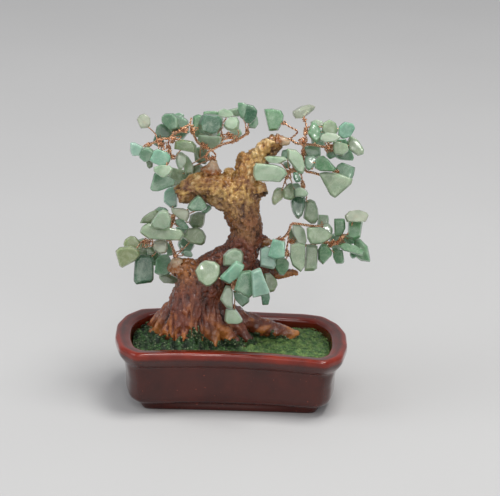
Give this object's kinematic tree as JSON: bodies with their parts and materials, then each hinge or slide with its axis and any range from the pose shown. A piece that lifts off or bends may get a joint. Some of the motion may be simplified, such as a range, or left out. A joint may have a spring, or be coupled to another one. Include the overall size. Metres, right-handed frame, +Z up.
{
  "type": "gemstone bonsai tree",
  "caption": "Bonsai tree with a painted resin trunk, twisted copper wire branches and drilled green stone chips, set in moss in an oblong glazed ceramic pot.",
  "frame": {"origin": "middle of the pot's flat underside, which rests on the table", "axes": "+Z up the tree, +X along the pot's long side towards the tree's right-hand branches, -Y towards the front"},
  "size_m": [0.121, 0.0636, 0.1476],
  "materials": {
    "oxblood_glaze": "glossy red-brown glaze, redder where it pools on the rim",
    "plaster": "matte cast plaster",
    "moss_flock": "green flock set in varnish",
    "painted_resin": "ochre to red-brown paint over cast bark, varnished",
    "hot_melt": "milky translucent hot-melt glue",
    "copper_wire": "bright bare copper wire",
    "aventurine_chips": "tumble-polished translucent green stone"
  },
  "bodies": {
    "root": {"pot": "oxblood_glaze", "planting_fill": "plaster", "moss_bed": "moss_flock", "trunk": "painted_resin", "glue_plug_front_low": "hot_melt", "glue_plug_lower_left": "hot_melt", "glue_plug_right_mid": "hot_melt", "glue_plug_upper_left": "hot_melt", "glue_plug_upper_right": "hot_melt", "stem_front_low": "copper_wire", "stem_lower_left": "copper_wire", "stem_right_mid": "copper_wire", "stem_upper_left": "copper_wire", "stem_upper_right": "copper_wire", "twig_front_low_1": "aventurine_chips", "twig_front_low_2": "aventurine_chips", "twig_front_low_3": "aventurine_chips", "twig_front_low_4": "aventurine_chips", "twig_lower_left_1": "aventurine_chips", "twig_lower_left_2": "aventurine_chips", "twig_lower_left_3": "aventurine_chips", "twig_lower_left_4": "aventurine_chips", "twig_lower_left_5": "aventurine_chips", "twig_lower_left_6": "aventurine_chips", "twig_lower_left_7": "aventurine_chips", "twig_lower_left_8": "aventurine_chips", "twig_lower_left_9": "aventurine_chips", "twig_right_mid_1": "aventurine_chips", "twig_right_mid_2": "aventurine_chips", "twig_right_mid_3": "aventurine_chips", "twig_right_mid_4": "aventurine_chips", "twig_right_mid_5": "aventurine_chips", "twig_right_mid_6": "aventurine_chips", "twig_right_mid_7": "aventurine_chips", "twig_right_mid_8": "aventurine_chips", "twig_upper_left_1": "aventurine_chips", "twig_upper_left_2": "aventurine_chips", "twig_upper_left_3": "aventurine_chips", "twig_upper_left_4": "aventurine_chips", "twig_upper_left_5": "aventurine_chips", "twig_upper_left_6": "aventurine_chips", "twig_upper_left_7": "aventurine_chips", "twig_upper_left_8": "aventurine_chips", "twig_upper_left_9": "aventurine_chips", "twig_upper_left_10": "aventurine_chips", "twig_upper_left_11": "aventurine_chips", "twig_upper_left_12": "aventurine_chips", "twig_upper_right_1": "aventurine_chips", "twig_upper_right_2": "aventurine_chips", "twig_upper_right_3": "aventurine_chips", "twig_upper_right_4": "aventurine_chips", "twig_upper_right_5": "aventurine_chips", "twig_upper_right_6": "aventurine_chips", "twig_upper_right_7": "aventurine_chips", "twig_upper_right_8": "aventurine_chips", "twig_upper_right_9": "aventurine_chips", "twig_upper_right_10": "aventurine_chips", "twig_upper_right_11": "aventurine_chips", "twig_upper_right_12": "aventurine_chips", "twig_upper_right_13": "aventurine_chips"}
  },
  "joints": []
}
